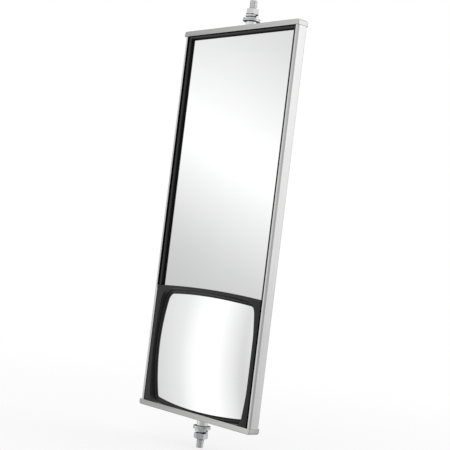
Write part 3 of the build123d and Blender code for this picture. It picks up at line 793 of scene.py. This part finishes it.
def thread_radius(turns, z):
    t = (z / PITCH - turns) % 1.0
    if t < CREST:
        depth = 0.0
    elif t < CREST + FLANK:
        depth = (t - CREST) / FLANK
    elif t < 2 * CREST + FLANK:
        depth = 1.0
    else:
        depth = 1.0 - (t - 2 * CREST - FLANK) / FLANK
    fade = min(1.0, max(0.0, z - STUD_BASE - PLAIN_NECK) / RUN_IN)
    chamfer = max(0.0, z - (STUD_TIP - POINT_CHAMFER))
    return min(MAJOR_R - THREAD_DEPTH * depth * fade, MAJOR_R - chamfer)


def hex_radius(angle, largest):
    off_flat = ((angle + math.pi / 6) % (math.pi / 3)) - math.pi / 6
    return min(HEX_FLAT / math.cos(off_flat), largest)


def stud(name, node, end):
    """Stud at the top (end 1) or bottom (end -1)."""
    n = STUD_SEGMENTS
    around = directions(n)
    heights = []
    z = STUD_BASE
    while z < STUD_TIP - 0.01:
        heights.append(z)
        z += PITCH / ROWS_PER_TURN
    heights.append(STUD_TIP)
    verts = []
    for z in heights:
        for j, (cos, sin) in enumerate(around):
            radius = thread_radius(j / n, z)
            verts.append((radius * cos, radius * sin, z))
    dish = len(verts)
    verts += [(DISH_R * cos, DISH_R * sin, STUD_TIP - DISH_EDGE) for cos, sin in around]
    tip = len(verts)
    verts.append((0, 0, STUD_TIP - DISH_DEPTH))
    head = len(verts)
    for largest, z in STUD_HEAD:
        for j, (cos, sin) in enumerate(around):
            radius = hex_radius(2 * math.pi * j / n, largest)
            verts.append((radius * cos, radius * sin, z))
    head_centre = len(verts)
    verts.append((0, 0, STUD_HEAD[0][1]))
    head_top = head_centre - n

    pairs = [(j, (j + 1) % n) for j in range(n)]
    faces = rings_to_faces(len(heights) + 1, n)
    faces += [(dish + j, dish + k, tip) for j, k in pairs]
    faces += rings_to_faces(len(STUD_HEAD), n, first=head)
    faces += [(head + k, head + j, head_centre) for j, k in pairs]
    faces += [(head_top + j, head_top + k, k, j) for j, k in pairs]
    verts = [(x, end * y, end * z) for x, y, z in verts]
    add_piece(name, verts, faces, STUD, node, crease=34.0)


stud("top_threaded_stud", "top_stud", 1)
stud("bottom_threaded_stud", "bottom_stud", -1)

# ---------------------------------------------------------------------------
# Blind rivets on the rear flanges: domed head, mandrel end in its recess
# ---------------------------------------------------------------------------
CROWN_R, CROWN_BACK = 213.0, 16.5  # radius of the curved back, and y of its rearmost line
CROWN_CENTRE_Y = CROWN_BACK - CROWN_R
RIVET_XS = (-55.0, 0.0, 55.0)
RIVET_INSET = 9.0  # from the end of the head
RIVET_SEGMENTS = 40
# radius, height above the flange
RIVET_PROFILE = [
    (0.0, 0.62), (0.55, 0.62), (0.78, 0.5), (0.8, 0.42), (0.95, 0.42), (1.02, 0.9), (1.2, 1.16),
    (1.6, 1.2), (2.2, 1.08), (2.8, 0.84), (3.3, 0.56), (3.7, 0.28), (3.93, 0.12), (3.98, 0.06),
    (3.9, 0.04), (2.0, 0.04), (2.0, -2.25), (2.62, -2.4), (2.7, -3.2), (2.6, -4.4), (1.9, -5.3),
    (1.2, -5.6), (0.0, -5.6),
]


def rivets(name, node, end):
    """Row of rivets at the top (end 1) or bottom (end -1)."""
    verts, faces = [], []
    n = RIVET_SEGMENTS
    rows = RIVET_PROFILE[1:-1]
    for x in RIVET_XS:
        y = CROWN_CENTRE_Y + math.sqrt(CROWN_R ** 2 - x * x)
        origin = Vector((x, y, end * (HEAD_HEIGHT / 2 - RIVET_INSET)))
        out = Vector((x / CROWN_R, (y - CROWN_CENTRE_Y) / CROWN_R, 0.0))
        up = Vector((0, 0, 1))
        across = out.cross(up)
        first = len(verts)
        verts.append(tuple(origin + out * RIVET_PROFILE[0][1]))
        for radius, height in rows:
            for cos, sin in directions(n):
                verts.append(tuple(
                    origin + up * (radius * cos) + across * (radius * sin) + out * height))
        last = len(verts)
        verts.append(tuple(origin + out * RIVET_PROFILE[-1][1]))
        faces += fan(first, first + 1, n)
        faces += rings_to_faces(len(rows), n, first=first + 1)
        faces += fan(last, last - n, n, reverse=True)
    add_piece(name, verts, faces, ALU, node, crease=40.0)


rivets("top_rivet_row", "top_cap_rivets", 1)
rivets("bottom_rivet_row", "bottom_cap_rivets", -1)

# ---------------------------------------------------------------------------
# CAD pieces that stay
# ---------------------------------------------------------------------------


def soften(node, width, limit=30.0, segments=2):
    """Rounds the edges of a CAD piece sharper than limit degrees, as modifiers."""
    weld = NODES[node].modifiers.new("join", "WELD")
    weld.merge_threshold = 0.001 * MM
    bevel = NODES[node].modifiers.new("soft", "BEVEL")
    bevel.width = width * MM
    bevel.segments = segments
    bevel.limit_method = "ANGLE"
    bevel.angle_limit = math.radians(limit)
    bevel.harden_normals = False
    bevel.use_clamp_overlap = True


soften("top_nut", width=0.12)
soften("bottom_nut", width=0.12)

# left out of reflections, so that the convex mirror shows the surround at its rim
for node in ("back_shell", "top_end_cap", "bottom_end_cap", "backing_board", "convex_backing_pad"):
    NODES[node].visible_glossy = False

# ---------------------------------------------------------------------------
# World: a surround seen only by light and reflections, white to the camera
# ---------------------------------------------------------------------------
scene.view_settings.view_transform = "Standard"
scene.view_settings.look = "None"
scene.view_settings.exposure = 0.0
scene.view_settings.gamma = 1.0

# azimuth in degrees from +X towards +Y, brightness above the horizon, brightness below it:
# brightest towards +X +Y, dimmest towards -X +Y
SURROUND = [
    (-180, 0.70, 0.60), (-163, 0.80, 0.72), (-150, 0.88, 0.84), (-145, 0.97, 0.97),
    (-139.3, 1.09, 1.09), (-136, 1.11, 1.11), (-134.5, 1.14, 1.14), (-131, 1.14, 1.14),
    (-129, 1.03, 1.03), (-126, 0.95, 0.95), (-122, 0.84, 0.83), (-118.6, 0.75, 0.68),
    (-113, 0.95, 0.72), (-98, 0.98, 0.66), (-80, 0.82, 0.46), (-60, 0.78, 0.42),
    (-25, 0.78, 0.42), (-5, 0.85, 0.45), (12, 0.92, 0.50), (24, 1.05, 0.54),
    (34, 1.60, 0.68), (58, 1.64, 0.70), (75, 1.0, 0.70), (118, 0.90, 0.75),
    (128, 0.30, 0.25), (152, 0.30, 0.25), (165, 0.60, 0.50), (180, 0.70, 0.60),
]
RAMP_PEAK = 1.7  # brightness that a ramp value of 1 stands for
HORIZON_BAND = (-16.0, 14.0)  # elevations over which low turns to high, degrees
CEILING_BAND = (35.0, 70.0)  # elevations over which the surround evens out, degrees
CEILING = 0.95


def studio_world():
    world = bpy.data.worlds.new("studio")
    scene.world = world
    world.use_nodes = True
    nodes = Nodes(world.node_tree)
    ray = nodes.xyz(nodes.new("TexCoord").outputs["Generated"])
    elevation = nodes.times(nodes.math("ARCSINE", ray["Z"]), 180 / math.pi)
    azimuth = nodes.times(nodes.math("ARCTAN2", ray["Y"], ray["X"]), 180 / math.pi)
    turn = nodes.span(azimuth, over=(-180.0, 180.0), to=(0.0, 1.0))

    def ring_of_light(column):
        stops = [((row[0] + 180.0) / 360.0, row[column] / RAMP_PEAK) for row in SURROUND]
        return nodes.times(nodes.grey_ramp(turn, stops), RAMP_PEAK)

    high, low = ring_of_light(1), ring_of_light(2)
    rise = nodes.span(elevation, over=HORIZON_BAND, to=(0.0, 1.0), smooth=True)
    overhead = nodes.span(elevation, over=CEILING_BAND, to=(0.0, 1.0), smooth=True)
    light = nodes.blend(nodes.blend(low, high, rise), CEILING, overhead)
    surround = nodes.new("Background", {"Strength": light, "Color": (1, 1, 1)})
    white = nodes.new("Background", {"Strength": 1.0, "Color": (1, 1, 1)})
    is_camera = nodes.new("LightPath").outputs["Is Camera Ray"]
    shader = nodes.mix_shader(is_camera, surround.outputs[0], white.outputs[0])
    nodes.new("OutputWorld", {"Surface": shader})


studio_world()

# ---------------------------------------------------------------------------
# Floor: a large pale disc, fading into the white surround
# ---------------------------------------------------------------------------
FLOOR_GAP = 0.0004  # below the lowest point of the CAD
FLOOR_R, FLOOR_RINGS, FLOOR_SPOKES = 5.0, 24, 96
FLOOR_SPREAD = 1.6  # above 1, rings crowd towards the middle


def floor_material():
    material, nodes = new_material("floor_pale")
    place = nodes.xyz(nodes.coord())
    squares = [nodes.times(place[axis], place[axis]) for axis in ("X", "Y")]
    distance = nodes.math("SQRT", nodes.math("ADD", *squares))
    mottle = nodes.noise(nodes.coord(), scale=6.0, detail=4.0, rough=0.55)
    matt = nodes.new("BsdfPrincipled", {
        "Base Color": nodes.mix(mottle, (0.90, 0.90, 0.90), (0.93, 0.93, 0.93)),
        "Roughness": 0.9,
    })
    glow = nodes.new("Emission", {"Color": (1, 1, 1), "Strength": 1.0})
    fade = nodes.span(distance, over=(0.12, 1.0), to=(0.72, 1.0), smooth=True)
    lit = nodes.mix_shader(fade, matt.outputs[0], glow.outputs[0])
    # seen from below, the floor is clear
    below = nodes.new("NewGeometry").outputs["Backfacing"]
    clear = nodes.new("BsdfTransparent").outputs[0]
    nodes.surface(nodes.mix_shader(below, lit, clear))
    return material


def add_floor():
    z = CAD_BOX[0][2] - FLOOR_GAP
    n = FLOOR_SPOKES
    verts = [(0.0, 0.0, z)]
    for i in range(1, FLOOR_RINGS + 1):
        radius = FLOOR_R * (i / FLOOR_RINGS) ** FLOOR_SPREAD
        verts += [(radius * cos, radius * sin, z) for cos, sin in directions(n)]
    faces = fan(0, 1, n)
    # wound to face upwards
    for i in range(1, FLOOR_RINGS):
        a, b = 1 + (i - 1) * n, 1 + i * n
        for j in range(n):
            k = (j + 1) % n
            faces.append((a + j, b + j, b + k, a + k))
    mesh = bpy.data.meshes.new("floor")
    mesh.from_pydata(verts, [], faces)
    floor = add_object("floor", mesh)
    floor.visible_glossy = False
    mesh.materials.append(floor_material())


add_floor()

# ---------------------------------------------------------------------------
# Lights and camera
# ---------------------------------------------------------------------------


def softbox(name, place, target, size, power):
    light = bpy.data.lights.new(name, "AREA")
    light.shape = "RECTANGLE"
    light.size, light.size_y = size
    light.energy = power
    light.color = (1, 1, 1)
    lamp = add_object(name, light)
    lamp.location = place
    aim = Vector(target) - Vector(place)
    lamp.rotation_euler = aim.to_track_quat("-Z", "Y").to_euler()


softbox("key", place=(0.9, -1.4, 1.6), target=(0, 0, 0), size=(1.2, 1.2), power=5.0)
softbox("rim", place=(1.6, 0.9, 0.6), target=(0, 0, 0.05), size=(0.8, 1.4), power=0.5)


def add_camera(place, yaw, pitch, roll, lens):
    """Camera looking along +Y at zero yaw; angles in radians, lens in mm."""
    forward = Vector((-math.sin(yaw) * math.cos(pitch), math.cos(yaw) * math.cos(pitch),
                      math.sin(pitch)))
    level = Vector((math.cos(yaw), math.sin(yaw), 0.0))
    upright = level.cross(forward)
    right = level * math.cos(roll) + upright * math.sin(roll)
    up = -level * math.sin(roll) + upright * math.cos(roll)
    data = bpy.data.cameras.new("camera")
    camera = add_object("camera", data)
    data.sensor_fit = "HORIZONTAL"
    data.sensor_width = 36.0
    data.lens = lens
    data.clip_start = 0.01
    data.clip_end = 50.0
    rows = [(right[i], up[i], -forward[i], place[i]) for i in range(3)]
    camera.matrix_world = Matrix((*rows, (0, 0, 0, 1)))
    scene.camera = camera


add_camera(place=Vector((0.8851, -0.7637, -0.0417)), yaw=0.86035, pitch=0.0333, roll=0.1218,
           lens=90.408)

bpy.context.view_layer.update()
